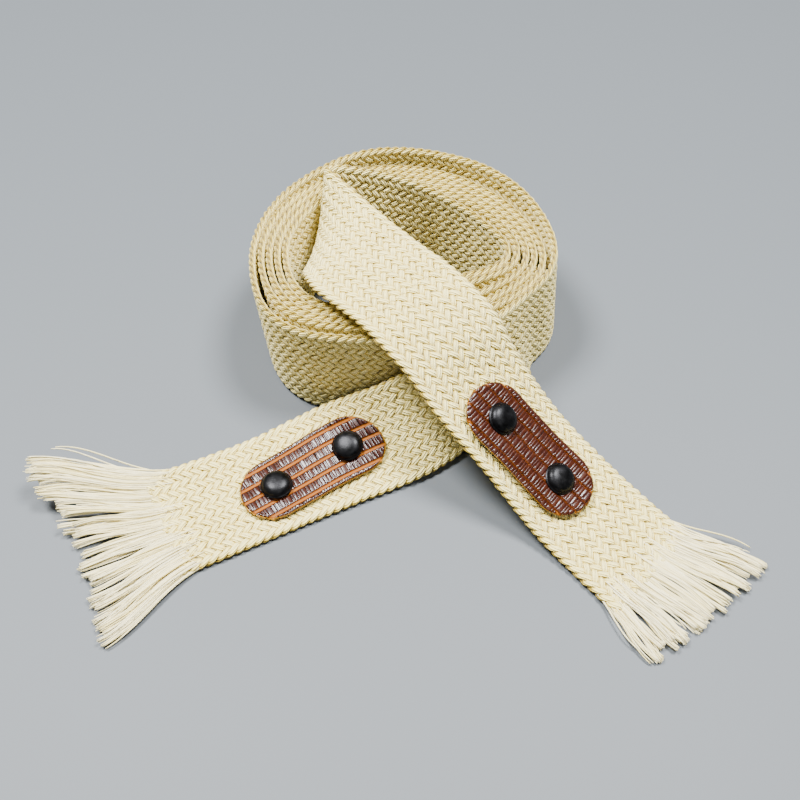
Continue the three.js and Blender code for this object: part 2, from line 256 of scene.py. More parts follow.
def read_band(table, s):
    return np.stack([np.interp(s, band_s, table[:, i]) for i in range(3)], -1)


def beyond(s):
    """How far past either end of the band s is, for yarn that runs on into the fringe."""
    return np.minimum(s, 0) + np.maximum(s - LENGTH, 0)


def band_point(s, t, n):
    """Millimetres on the cloth to millimetres in the model's frame."""
    s, t, n = np.broadcast_arrays(*(np.asarray(v, float) for v in (s, t, n)))
    lift = np.interp(s, band_s, curl) * (np.maximum(t, 0) / (BAND_WIDTH / 2)) ** 2
    point = read_band(middle, s) + beyond(s)[..., None] * read_band(band_along, s)
    point = point + (t * np.interp(s, band_s, band_span))[..., None] * read_band(band_across, s)
    return roll_centre + point + (n + lift)[..., None] * read_band(band_normal, s)


print("peak of the fold", band_point(band_s, 20, 0).max(0).round(1))

# %% [markdown]
# ## Where the leather and rivets go
# Both patches sit a little askew on the band, as they do when they are riveted by hand.  A point of
# a patch is turned into a place on the cloth, so the leather and its rivets agree.

# %% Places of the patches
PATCH_LENGTH, PATCH_WIDTH = 53.5, 23.0
RIVET_SPACING = 28.2
PATCHES = {                                        # middle and across: where the patch's middle is
    "outer": dict(line=0, inward=1, middle=53, across=-1.6, turn=math.radians(7.5)),
    "inner": dict(line=LENGTH, inward=-1, middle=57.2, across=-2.2, turn=math.radians(-5)),
}


def on_patch(end, x, y):
    """s and t on the band of a point x along and y across a patch, in mm from its middle."""
    p = PATCHES[end]
    c, q = math.cos(p["turn"]), math.sin(p["turn"])
    return p["line"] + p["inward"] * (p["middle"] + x * c - y * q), p["across"] + x * q + y * c


rivet_places = {}
for end in PATCHES:
    rivet_places[end] = [on_patch(end, x, 0) for x in (-RIVET_SPACING / 2, RIVET_SPACING / 2)]
    print(end, "rivets", [(round(s), round(t, 1)) for s, t in rivet_places[end]])

# %% [markdown]
# ## Materials
# A material is a small network of nodes.  Written as sums on sockets it reads like the idea behind
# it, so one class wraps a socket and turns Python's operators into Math nodes.

# %% Sockets that can be added and multiplied
class Socket:
    """A value inside a material, which Python's operators can work on."""

    def __init__(self, material, link):
        self.material, self.link = material, link

    def maths(self, operation, *values):
        inputs = {f"i{k}": value for k, value in enumerate(values)}
        return node(self.material, "ShaderNodeMath", {"operation": operation}, **inputs)

    def __add__(self, other):
        return self.maths("ADD", self, other)

    def __sub__(self, other):
        return self.maths("SUBTRACT", self, other)

    def __rsub__(self, other):
        return self.maths("SUBTRACT", other, self)

    def __mul__(self, other):
        return self.maths("MULTIPLY", self, other)

    __radd__, __rmul__ = __add__, __mul__

    def sine(self):
        return self.maths("SINE", self)


def node(material, kind, settings=None, stops=None, out=0, **inputs):
    """Any node: its type, its settings, a ramp's stops, and values or links by name or by i0, i1..."""
    made = material.node_tree.nodes.new(kind)
    for key, value in (settings or {}).items():
        setattr(made, key, value)
    if stops:
        ramp = made.color_ramp.elements
        while len(ramp) < len(stops):
            ramp.new(1)
        for element, (place, colour) in zip(ramp, stops):
            element.position, element.color = place, colour
    for key, value in inputs.items():
        numbered = key[0] == "i" and key[1:].isdigit()
        socket = made.inputs[int(key[1:]) if numbered else key.replace("_", " ")]
        if isinstance(value, Socket):
            material.node_tree.links.new(value.link, socket)
        else:
            socket.default_value = value
    return Socket(material, made.outputs[out])


def tone(red, green, blue):
    """A colour as a screen shows it, 0 to 255, turned to the light that Blender works with."""
    shown = [c / 255 for c in (red, green, blue)]
    return (*(c / 12.92 if c < 0.0404 else ((c + 0.055) / 1.055) ** 2.4 for c in shown), 1)


def material(name, **constants):
    """A new material and its shader, with the shader's fixed values."""
    made = bpy.data.materials.new(name)
    made.use_nodes = True
    shader = made.node_tree.nodes["Principled BSDF"]
    for key, value in constants.items():
        shader.inputs[key.replace("_", " ")].default_value = value
    return made, shader


def connect(made, shader, **links):
    """Sockets linked to the shader's inputs, by name."""
    for key, value in links.items():
        made.node_tree.links.new(value.link, shader.inputs[key.replace("_", " ")])


# %% [markdown]
# ### Cotton
# Raw cotton is cream.  Its colour here is painted: straw and ochre down between the strands, as painted
# shade with the light bounced off more cotton, and lighter where a strand stands proud.  Each strand is
# a flat bundle of plies, four to a side, so a fine ridge runs along each ply, and loose fibres break it
# up; the ridges are painted a little lighter and the lines between them a little darker, as painted
# shade.  The plies follow the strand through its own map: how far along it in millimetres, and how far
# round it from 0 to 1.

# %% Cotton
PLIES = 8                                          # ridges round a strand
PLY_SLANT = 0.16                                   # ridges crossed in each mm along it


def cotton(name, crevice, straw, cream, bright, ridge):
    """Coloured by how proud a point stands, from crevice to bright: painted shade down in the crevices,
    painted light on the crowns.  ridge: how deep the plies show.
    """
    made, shader = material(name, Roughness=0.86, Sheen_Weight=0.25, Sheen_Roughness=0.5,
                            Specular_IOR_Level=0.25)
    rise = node(made, "ShaderNodeAttribute", {"attribute_name": "rise"}, out=2)
    way = node(made, "ShaderNodeUVMap", {"uv_map": "yarn"})
    along = node(made, "ShaderNodeSeparateXYZ", i0=way)
    around = node(made, "ShaderNodeSeparateXYZ", out=1, i0=way)
    place = node(made, "ShaderNodeTexCoord", out=3)
    plies = ((around * PLIES + along * PLY_SLANT) * (2 * math.pi)).sine()
    fibres = node(made, "ShaderNodeTexNoise", i0=place, Scale=2600.0, Detail=3.0)
    patches = node(made, "ShaderNodeTexNoise", i0=place, Scale=60.0, Detail=2.0)
    # The ramp reads how proud a point stands and the ply ridges, which are painted light and shade, and
    # the fibres and patches, which are the cotton's own random tone.
    height = rise + plies * 0.1 + (fibres - 0.5) * 0.26 + (patches - 0.5) * 0.16
    stops = [(0.05, crevice), (0.36, straw), (0.62, cream), (0.95, bright)]
    colour = node(made, "ShaderNodeValToRGB", stops=stops, i0=height)
    bump = node(made, "ShaderNodeBump", Height=plies * 0.6 + fibres * 0.9,
                Strength=ridge, Distance=0.0003)
    connect(made, shader, Base_Color=colour, Normal=bump)
    return made


# The ochre and straw stops are painted shade down between the strands, and the bright stop is painted
# light on the crowns.
braided = cotton("braided cotton", tone(94, 72, 0), tone(178, 150, 34), tone(234, 211, 112),
                 tone(250, 234, 156), ridge=0.9)
# The loose threads use the same ramp for their own tone and for a painted highlight on their upper
# sides.
loose = cotton("loose cotton", tone(180, 152, 56), tone(234, 213, 130), tone(247, 232, 168),
               tone(251, 240, 194), ridge=0.5)
# Painted shade: the dark, grainy colour of the sheet behind the strands, which stands for the shade in
# the gaps of the braid.
shadow_fill, shadow_fill_shader = material("painted shadow sheet", Roughness=0.95)
place = node(shadow_fill, "ShaderNodeTexCoord", out=3)
grain = node(shadow_fill, "ShaderNodeTexNoise", i0=place, Scale=900.0)
shaded = node(shadow_fill, "ShaderNodeValToRGB", i0=grain, stops=[
    (0.3, tone(104, 72, 20)), (0.7, tone(160, 124, 56))])
connect(shadow_fill, shadow_fill_shader, Base_Color=shaded)
print("cotton materials:", braided.name, loose.name, shadow_fill.name)

# %% [markdown]
# ### Leather and rivets
# The leather is embossed in lengthwise rows of small cells.  Its deep mahogany finish is glossy on
# the cells, and rubbed off in the grooves and at the cut edge, which show the orange-brown hide.
# `groove` is kept on the mesh: 1 in a groove, 0.36 on a cell and 0 in the gap between two cells.  So
# the colour always meets the shape, and the near black in the narrow gaps between cells is painted
# shade.

# %% Leather and rivets
leather, leather_shader = material("embossed leather", Specular_IOR_Level=0.25, Coat_Roughness=0.07)
groove = node(leather, "ShaderNodeAttribute", {"attribute_name": "groove"}, out=2)
cut = node(leather, "ShaderNodeAttribute", {"attribute_name": "cut_edge"}, out=2)
place = node(leather, "ShaderNodeTexCoord", out=3)
mottle = node(leather, "ShaderNodeTexNoise", i0=place, Scale=700.0, Detail=4.0)
pores = node(leather, "ShaderNodeTexNoise", i0=place, Scale=3500.0, Detail=2.0)
# The bottom of the ramp, near black, is painted shade in the narrow gaps between cells.
hide = node(leather, "ShaderNodeValToRGB", i0=groove + (mottle - 0.5) * 0.22, stops=[
    (0.04, tone(10, 3, 2)), (0.34, tone(46, 13, 4)), (0.62, tone(96, 46, 0)), (0.92, tone(134, 74, 0))])
edge_colour = tone(150, 106, 14)
dyed = node(leather, "ShaderNodeMix", {"data_type": "RGBA"}, out=2, i0=cut, i6=hide, i7=edge_colour)
relief = node(leather, "ShaderNodeBump", Height=pores + mottle * 0.6, Strength=0.35, Distance=0.0001)
gloss = groove.maths("MAXIMUM", (0.62 - groove) * 1.15, 0.0)
connect(leather, leather_shader, Base_Color=dyed, Normal=relief,
        Roughness=groove * 0.42 + mottle * 0.14 + 0.12, Coat_Weight=gloss)

metal, metal_shader = material("black rivet", Metallic=0.85)
place = node(metal, "ShaderNodeTexCoord", out=3)
wear = node(metal, "ShaderNodeTexNoise", i0=place, Scale=420.0, Detail=5.0)
orange_peel = node(metal, "ShaderNodeTexNoise", i0=place, Scale=2200.0, Detail=3.0)
connect(metal, metal_shader,
        Base_Color=node(metal, "ShaderNodeValToRGB", i0=wear, stops=[
            (0.3, tone(8, 8, 9)), (0.75, tone(36, 36, 38))]),
        Roughness=wear * 0.25 + 0.24,
        Normal=node(metal, "ShaderNodeBump", Height=orange_peel, Strength=0.3, Distance=0.0001))

bright_post, post_shader = material("rivet post", Metallic=1.0)
place = node(bright_post, "ShaderNodeTexCoord", out=3)
drawn = node(bright_post, "ShaderNodeTexNoise", i0=place, Scale=900.0, Detail=4.0)
connect(bright_post, post_shader,
        Base_Color=node(bright_post, "ShaderNodeValToRGB", i0=drawn, stops=[
            (0.3, tone(58, 58, 62)), (0.8, tone(112, 112, 116))]),
        Roughness=drawn * 0.3 + 0.25,
        Normal=node(bright_post, "ShaderNodeBump", Height=drawn, Strength=0.2, Distance=0.0001))
print("leather and rivet materials made")

# %% [markdown]
# ## Yarn as tubes
# Braid and fringe are both made of yarn that follows a known line.  Curve objects with a bevel would
# work for a few strands, but here there are hundreds with a lens-shaped section that keeps its flat
# side to the cloth, so one function lays a ring of points at each step of each line and skins them.
#
# Each tube gets two maps.  `OFBake` gives every tube its own strip of one square picture, with the
# end caps as tiny rounds at the strip's ends.  `yarn` holds the real run in millimetres.

# %% Tubes along many lines
def new_piece(name, points, faces, finish):
    mesh = bpy.data.meshes.new(name)
    mesh.from_pydata(points, [], faces)
    mesh.materials.append(finish)
    mesh.polygons.foreach_set("use_smooth", np.ones(len(mesh.polygons), bool))
    piece = bpy.data.objects.new(name, mesh)
    bpy.context.collection.objects.link(piece)
    return piece


def give_values(mesh, name, values):
    attribute = mesh.attributes.new(name, "FLOAT", "POINT")
    attribute.data.foreach_set("value", np.ascontiguousarray(values, np.float32))


def give_map(mesh, name, uv):
    layer = mesh.uv_layers.new(name=name)
    layer.data.foreach_set("uv", np.ascontiguousarray(uv, np.float32).ravel())


def flattened(v, power):
    """Swells a circle's sine or cosine towards a rounded box.  A lower power is squarer."""
    return np.sign(v) * np.abs(v) ** power


STRIP_START, STRIP_LENGTH = 0.01, 0.98             # along the baked picture
STRIP_MARGIN = 0.04                                # of a strip's width, on either side
CAP_PLACES = (0, 0.992)                            # along the picture, for the first and last cap


def yarn_piece(name, centres, ups, half_width, half_height, corners, along, rise, finish):
    """centres: lines x steps x 3 in mm.  rise(sideways, upward) gives how proud each corner stands,
    which the cotton's colour turns into painted light and shade.
    """
    lines, steps, _ = centres.shape
    tangent = unit(np.gradient(centres, axis=1))
    side = unit(np.cross(tangent, ups))
    up = np.cross(side, tangent)
    turn = 2 * math.pi * np.arange(corners) / corners
    sideways, upward = flattened(np.cos(turn), 0.85), flattened(np.sin(turn), 0.7)
    rings = (centres[:, :, None] + side[:, :, None] * (half_width[..., None] * sideways)[..., None]
             + up[:, :, None] * (half_height[..., None] * upward)[..., None])

    ring = np.arange(lines * steps * corners).reshape(lines, steps, corners)
    following = np.roll(ring, -1, axis=2)
    quads = np.stack([ring[:, :-1], following[:, :-1], following[:, 1:], ring[:, 1:]], -1).reshape(-1, 4)
    first, last = ring[:, 0, ::-1], ring[:, -1]
    faces = quads.tolist() + first.tolist() + last.tolist()
    piece = new_piece(name, (rings.reshape(-1, 3) * MM).tolist(), faces, finish)

    around = np.arange(corners + 1) / corners
    low, high = around[None, None, :-1], around[None, None, 1:]

    def four_corners(run, place):
        """The map of every quad, for a run along the tube and place(run, around) on the map."""
        here, there = run[None, :-1, None], run[None, 1:, None]
        quad = [(here, low), (here, high), (there, high), (there, low)]
        return np.stack([np.stack(np.broadcast_arrays(*place(a, b)), -1) for a, b in quad], -2)

    strip = np.arange(lines)[:, None, None]
    share = np.arange(steps) / (steps - 1)
    bake = four_corners(share, lambda a, b: (
        a * STRIP_LENGTH + STRIP_START,
        (strip + STRIP_MARGIN + (1 - 2 * STRIP_MARGIN) * b) / lines))
    cap = np.stack([0.004 + 0.003 * sideways, 0.003 * upward], -1)
    caps = [cap + [x, (k + 0.5) / lines] for x in CAP_PLACES for k in range(lines)]
    give_map(piece.data, "OFBake", np.concatenate([bake.reshape(-1, 2), np.concatenate(caps)]))
    real = four_corners(along, lambda a, b: (a, b + 0 * strip))
    on_caps = np.zeros((2 * lines * corners, 2))
    give_map(piece.data, "yarn", np.concatenate([real.reshape(-1, 2), on_caps]))
    # rise is the value that the cotton's colour ramp paints as light and shade.
    give_values(piece.data, "rise", rise(sideways, upward).ravel())
    return piece


# %% [markdown]
# ## The braid
# It is a flat braid of 31 strands, each two over and two under the rest.  Every strand runs slantwise
# to one border, wraps round it and comes back, so seen from the side it is a zigzag.  Strands going
# up and strands going down are mirror images in height, which is all that a braid is: wherever two
# cross, one is up exactly when the other is down.

# %% Strands
STRANDS = 31
LINE_WIDTH = 39.4                                  # between the outermost strand centres
CROSSING = LINE_WIDTH / STRANDS                    # across the band, from one crossing to the next
ROW = 3.2                                          # along the band, between neighbouring strands
SLOPE = 2 * CROSSING / ROW
SWING = 0.58                                       # of a strand's centre from the band's middle
STRAND_HALF_WIDTH, STRAND_HALF_HEIGHT = 1.06, 0.6
STRAND_CORNERS = 8                                 # round its section
SOFT_TURN = 1.0                                    # how far from the border a strand rounds off
STEP = ROW / 4                                     # between the rings of a strand


def strand_lines(start, end):
    """Where the strands' centres are, at each step from start to end: steps, t and n in mm."""
    steps = np.arange(start, end + STEP / 2, STEP)
    steps[-1] = min(steps[-1], end)
    place = (steps[None] - ROW * np.arange(STRANDS)[:, None]) % (STRANDS * ROW)
    going_up = place < STRANDS * ROW / 2
    from_low = np.where(going_up, SLOPE * place, 2 * LINE_WIDTH - SLOPE * place)
    near = np.minimum(from_low, LINE_WIDTH - from_low)
    rounded = np.sqrt(near ** 2 + SOFT_TURN ** 2)
    t = np.where(from_low < LINE_WIDTH / 2, rounded, LINE_WIDTH - rounded) - LINE_WIDTH / 2
    over_under = np.sin(math.pi / (2 * CROSSING) * (near - CROSSING / 2))
    at_border = np.sin(math.pi / (3 * CROSSING) * near)
    wave = np.where(near < 1.5 * CROSSING, at_border, over_under)
    height = np.tanh(1.6 * wave) / math.tanh(1.6) * SWING
    return steps, t, np.where(going_up, height, -height)


def cloth_normal(s, t):
    """Straight out of the cloth, with its curl."""
    d = 0.4
    forward = band_point(s + d, t, 0) - band_point(s - d, t, 0)
    aside = band_point(s, t + d, 0) - band_point(s, t - d, 0)
    return unit(np.cross(forward, aside))


def braid(name, start, end):
    """A stretch of the braid.  No two strands are quite as thick, or run quite as straight."""
    s, t, n = strand_lines(start, end)
    s_all = np.broadcast_to(s, t.shape)
    draw = np.random.default_rng(int(start) + 7)
    strand = np.arange(STRANDS)[:, None]
    plump = 1 + 0.06 * np.sin(s_all * 0.9 + 2.4 * strand) + draw.normal(0, 0.025, t.shape)
    wander = 0.12 * np.sin(s_all * 0.23 + 1.7 * strand) + 0.07 * np.sin(s_all * 1.31 + 4.1 * strand)
    lump = 1 + 0.1 * np.sin(s_all * 0.37 + 2.9 * strand)
    inside = smoothstep(0, 3, LINE_WIDTH / 2 - np.abs(t))  # 0 at a border, so borders stay straight
    n = n * (1 + (lump - 1) * inside)
    centres = band_point(s_all, t + wander * inside + draw.normal(0, 0.04, t.shape), n)

    def proud(sideways, upward):
        """How proud a point stands, painted as shade and light: 0 deep in the braid, 1 on a crown, and 1
        again on the outside of a border.
        """
        above = np.abs(n[..., None] + STRAND_HALF_HEIGHT * upward) / (SWING + STRAND_HALF_HEIGHT)
        outmost = np.abs(t[..., None] - 0.7 * STRAND_HALF_WIDTH * sideways)
        at_border = (outmost - LINE_WIDTH / 2 + 0.6) / 1.1
        return np.clip(np.maximum(above * (1 - 0.1 * sideways ** 2), at_border), 0, 1)

    return yarn_piece(name, centres, cloth_normal(s_all, t), STRAND_HALF_WIDTH * plump,
                      np.full(t.shape, STRAND_HALF_HEIGHT), STRAND_CORNERS,
                      s / math.cos(math.atan(SLOPE)), proud, braided)


OUTER_SEAM, INNER_SEAM = 104.0, LENGTH - 124.0     # where the end pieces meet the roll's
ROLL_PARTS = 6
seams = np.round(np.linspace(OUTER_SEAM, INNER_SEAM, ROLL_PARTS + 1) / STEP) * STEP
outer_braid = braid("braid_outer_end", 0, seams[0])
roll_braids = [braid(f"braid_roll_{k + 1}", seams[k], seams[k + 1]) for k in range(ROLL_PARTS)]
inner_braid = braid("braid_inner_end", seams[-1], LENGTH)
print("braid faces", sum(len(b.data.polygons) for b in [outer_braid, inner_braid, *roll_braids]))

# %% [markdown]
# ## The shadow sheet
# Behind the strands lies a thin dark sheet, which shows only as the dark in the gaps.  A real flat braid
# has nothing there: the sheet is painted shade, put where there is only shade between the strands.  It
# is a flat sheet a little narrower than the band, made as a grid, bent to the route, and given its
# thickness by a Solidify modifier.

# %% Inner yarn
def select_only(piece):
    bpy.ops.object.select_all(action="DESELECT")
    piece.select_set(True)
    bpy.context.view_layer.objects.active = piece


def apply_modifier(piece, kind, **settings):
    select_only(piece)
    modifier = piece.modifiers.new(kind.lower(), kind)
    for key, value in settings.items():
        setattr(modifier, key, value)
    bpy.ops.object.modifier_apply(modifier=modifier.name)


def vertices_of(piece):
    flat = np.empty(len(piece.data.vertices) * 3)
    piece.data.vertices.foreach_get("co", flat)
    return flat.reshape(-1, 3)


def move_vertices(piece, points):
    piece.data.vertices.foreach_set("co", np.ascontiguousarray(points, np.float32).ravel())
    piece.data.update()


def grid(name, columns, rows, finish):
    """A flat grid from -1 to 1 both ways, ready to be laid somewhere."""
    bpy.ops.object.select_all(action="DESELECT")
    bpy.ops.mesh.primitive_grid_add(x_subdivisions=columns, y_subdivisions=rows, size=2)
    piece = bpy.context.active_object
    piece.name = piece.data.name = name
    piece.data.materials.append(finish)
    return piece


INNER_HALF_WIDTH = 18.6
INNER_THICKNESS = 0.4
INNER_STEP = 2                                     # mm of band to each column of the grid
INNER_ROWS = 8


# A dark sheet along the band: painted shade for the gaps between the strands.
def shadow_sheet(name, start, end):
    piece = grid(name, int((end - start) / INNER_STEP), INNER_ROWS, shadow_fill)
    x, y, _ = vertices_of(piece).T
    s = start + (x + 1) / 2 * (end - start)
    move_vertices(piece, band_point(s, y * INNER_HALF_WIDTH, 0) * MM)
    apply_modifier(piece, "SOLIDIFY", thickness=INNER_THICKNESS * MM, offset=0)
    return piece


END_GAP = 1.0                                      # it stops short of the fringe line
outer_shadow_sheet = shadow_sheet("shadow_sheet_outer_end", END_GAP, seams[0])
roll_shadow_sheet = shadow_sheet("shadow_sheet_roll", seams[0], seams[-1])
inner_shadow_sheet = shadow_sheet("shadow_sheet_inner_end", seams[-1], LENGTH - END_GAP)

# %% [markdown]
# ## The fringes
# Past the last crossing nothing holds the strands, and they come apart into loose threads.  The
# threads cling together in yarns and the yarns in tufts, with a few strays.  Each thread starts
# inside the braid, runs to its yarn's tip with a slow wave of its own, and sinks to the table.

# %% Fringes
TUFT_TIPS = {                                      # out from the line, and across, in mm
    "outer": [(35, 33), (34, 26.5), (31, 18), (30, 9), (30, 0), (29, -8.5), (30.5, -17.5), (31.5, -27)],
    "inner": [(25.5, 25.5), (26, 17.5), (25.5, 9.5), (24.5, 2), (23.5, -5), (22, -12), (19.5, -19.5)],
}
YARNS_PER_TUFT, THREADS_PER_YARN = 5, 18
THREAD_STEPS, THREAD_CORNERS = 18, 5
THREAD_RUN = 32                                    # mm, for the plies' pattern
THICK, THIN = 0.26, 0.15                           # half of a thread's thickness
ROOT_WIDTH = 38.4                                  # all the roots together
TUFT_TIP_WIDTH = 7.0
STRAYS = 0.1                                       # share of the threads
LOWEST, HIGHEST = 0.35, 2.4                        # a thread's middle over the table and the cloth
CIRCLE = 6.28


def fringe(name, end, seed):
    """All the threads of one end, counted from one side of the band to the other."""
    tips = TUFT_TIPS[end]
    line, outward = (0, -1) if end == "outer" else (LENGTH, 1)
    draw = np.random.default_rng(seed)
    yarns = len(tips) * YARNS_PER_TUFT
    count = yarns * THREADS_PER_YARN
    each = lambda values: np.repeat(values, THREADS_PER_YARN)[:, None]
    tuft = np.repeat(np.arange(len(tips)), YARNS_PER_TUFT)
    in_tuft = np.tile((np.arange(YARNS_PER_TUFT) + 0.5) / YARNS_PER_TUFT, len(tips)) - 0.5
    tip_out, tip_across = np.array(tips, float)[tuft].T

    root = each(ROOT_WIDTH / 2 - (np.arange(yarns) + 0.5) * ROOT_WIDTH / yarns)
    root = root + draw.normal(0, 0.32, (count, 1))
    yarn_tip = tip_across - in_tuft * TUFT_TIP_WIDTH + draw.normal(0, 0.7, yarns)
    stray = draw.uniform(0, 1, (count, 1)) < STRAYS
    across = each(yarn_tip) + draw.normal(0, 1, (count, 1)) * np.where(stray, 2.0, 0.5)
    cut_at = each(tip_out * draw.uniform(0.84, 1.0, yarns)) * draw.uniform(0.95, 1.0, (count, 1))
    out = cut_at * np.where(stray, draw.uniform(0.7, 1.04, (count, 1)), 1)
    start = -1.5 - 8 * draw.uniform(0, 1, (count, 1)) ** 2

    u = np.linspace(0, 1, THREAD_STEPS)[None]
    far = start + (out - start) * u
    yarn_phase = each(draw.uniform(0, CIRCLE, yarns))
    thread_phase = draw.uniform(0, CIRCLE, (count, 1))
    yarn_bow = each(draw.uniform(0.3, 1.3, yarns))
    thread_bow = draw.uniform(0.05, 0.3, (count, 1))
    wave = yarn_bow * (np.sin(yarn_phase + 4.4 * u) - np.sin(yarn_phase))
    wave = wave + thread_bow * (np.sin(thread_phase + 8 * u) - np.sin(thread_phase))
    t = root + (across - root) * (0.45 * u + 0.55 * smoothstep(0, 1, u)) + wave * u
    layer = each(draw.uniform(-0.5, 0.9, yarns)) + draw.normal(0, 0.28, (count, 1))
    arch = each(np.repeat(draw.uniform(0, 1.1, len(tips)), YARNS_PER_TUFT)) * np.sin(math.pi * u)
    n = layer + arch + 0.4 * yarn_bow * np.sin(yarn_phase * 2 + 5 * u) * u
    centres = band_point(line + outward * far, t, np.minimum(n, HIGHEST))
    centres[..., 2] = np.maximum(centres[..., 2], LOWEST + draw.uniform(0, 0.1, (count, 1)))
    thick = np.where(draw.uniform(0, 1, (count, 1)) < 0.7, THICK, THIN) * (1 - 0.35 * u ** 4)
    ups = np.broadcast_to([0.1, 0.05, 1.0], centres.shape)
    shade = 0.35 + 0.6 * draw.uniform(0, 1, (count, 1, 1)) * np.ones((1, THREAD_STEPS, 1))
    along = np.linspace(0, THREAD_RUN, THREAD_STEPS)
    # lit: each thread's own random tone, with its upper side painted lighter as a painted highlight from
    # the lights overhead.
    lit = lambda sideways, upward: np.clip(shade + 0.2 * upward, 0, 1)
    return yarn_piece(name, centres, ups, thick, thick, THREAD_CORNERS, along, lit, loose)


outer_fringe = fringe("fringe_outer", "outer", 11)
inner_fringe = fringe("fringe_inner", "inner", 23)
for end, tips in TUFT_TIPS.items():
    print("threads in the", end, "fringe:", len(tips) * YARNS_PER_TUFT * THREADS_PER_YARN)

# %% [markdown]
# ## The leather patches
# A patch is a strip of cow hide cut with round ends and pressed in a heated plate, which leaves
# lengthwise grooves with short cells between them.  The pattern is geometry, cut into a fine grid,
# because light catches each cell on its own edge.  The grid is squeezed to the round-ended outline,
# laid on the braid, and thickened downwards.

# %% Leather
PATCH_GRID = (250, 104)                            # columns along it, rows across it
ROWS_ACROSS = 5
GROOVE_WIDTH = 0.85
CELL_LENGTH = 1.22
GROOVE_DEPTH, GAP_DEPTH, EDGE_DEPTH = 0.42, 0.2, 0.5
CELL_TABLE = (16, 80)                              # more rows and cells than a patch has
CELL_VALUE = 0.36                                  # `groove` on a cell
LEATHER_TOP = 3.0                                  # from the band's middle surface
LEATHER_THICKNESS = 0.85
END_FLAT = 1.4                                     # half of the last grid column


def leather_patch(name, end, seed):
    piece = grid(name, *PATCH_GRID, leather)
    gx, gy, _ = vertices_of(piece).T
    radius = PATCH_WIDTH / 2
    x = gx * (PATCH_LENGTH / 2 - (radius - math.sqrt(radius ** 2 - END_FLAT ** 2)))
    into_end = np.maximum(np.abs(x) - (PATCH_LENGTH / 2 - radius), 0)
    y = gy * np.sqrt(radius ** 2 - into_end ** 2)
    from_edge = radius - np.hypot(into_end, y)

    draw = np.random.default_rng(seed)
    pitch = PATCH_WIDTH / ROWS_ACROSS
    rows_up = y / pitch + ROWS_ACROSS / 2
    row = np.floor(rows_up + 0.5)
    in_row = np.abs(rows_up + 0.5 - row - 0.5) * pitch
    groove_part = 1 - smoothstep(GROOVE_WIDTH * 0.35, GROOVE_WIDTH * 0.9, pitch / 2 - in_row)
    shift = draw.uniform(0, 1, CELL_TABLE[0])[row.astype(int)]
    wobble = 0.22 * np.sin(x * 0.9 + row * 2.1) + 0.12 * np.sin(x * 2.3 + row)
    cell = x / CELL_LENGTH + shift + wobble
    along_cell = cell - np.floor(cell) - 0.5
    in_cell = np.abs(along_cell) * 2
    gap_part = smoothstep(0.66, 0.96, in_cell) * (1 - groove_part)

    # Each cell has a crown and a slight tilt of its own, so the cells catch the light one by one.
    this_cell = row.astype(int), (np.floor(cell) + CELL_TABLE[1] // 2).astype(int) % CELL_TABLE[1]
    tilt = draw.uniform(-1, 1, CELL_TABLE)[this_cell]
    lean = draw.uniform(-1, 1, CELL_TABLE)[this_cell]
    crown = 0.1 * (1 - (in_row / (pitch / 2)) ** 2) + 0.04 * (1 - in_cell ** 2)
    slant = 0.24 * tilt * along_cell + 0.3 * lean * (rows_up - row)
    relief = -GROOVE_DEPTH * groove_part - GAP_DEPTH * gap_part
    relief = relief + (crown + slant) * (1 - groove_part)
    relief = relief - EDGE_DEPTH * (1 - smoothstep(0, 0.7, from_edge))

    s, t = on_patch(end, x, y)
    slack = 0.05 * np.sin(x * 0.4)
    move_vertices(piece, band_point(s, t, LEATHER_TOP + slack + relief) * MM)
    # A gap between two cells gets 0, which the leather's colour paints near black as painted shade.
    on_cell = CELL_VALUE - CELL_VALUE * gap_part
    give_values(piece.data, "groove", groove_part + (1 - groove_part) * on_cell)
    give_values(piece.data, "cut_edge", 1 - smoothstep(0.05, 0.35, from_edge))
    apply_modifier(piece, "SOLIDIFY", thickness=LEATHER_THICKNESS * MM, offset=-1)
    bpy.ops.object.shade_smooth()
    return piece


patches = {
    "outer": leather_patch("leather_outer", "outer", 3),
    "inner": leather_patch("leather_inner", "inner", 4),
}
print("leather faces", [len(p.data.polygons) for p in patches.values()])

# %% [markdown]
# ## The rivet caps
# A cap is a disc of sheet steel, drawn into a shallow dome with a small step at its rim, and lacquered
# black.  It starts as a cylinder.  The top face is inset for the rim and stepped up, then inset ring
# by ring and raised along a dome, as a press would draw it, and last it is bevelled and set in place.

# %% Rivet caps
CAP_RADIUS, CAP_HEIGHT = 5.4, 3.4
RIM_HEIGHT, RIM_STEP = 0.9, 0.5
RIM_SLOPE = 0.3                                    # how much the step rises inwards
CAP_BASE = 3.4                                     # from the band's middle surface
CAP_SIDES = 56
CAP_ROUNDING = 0.12
DOME_RINGS, DOME_ARC = 8, math.radians(83)
DOME_FLATNESS = 2.8                                # 2 is a ball, more is flatter on top


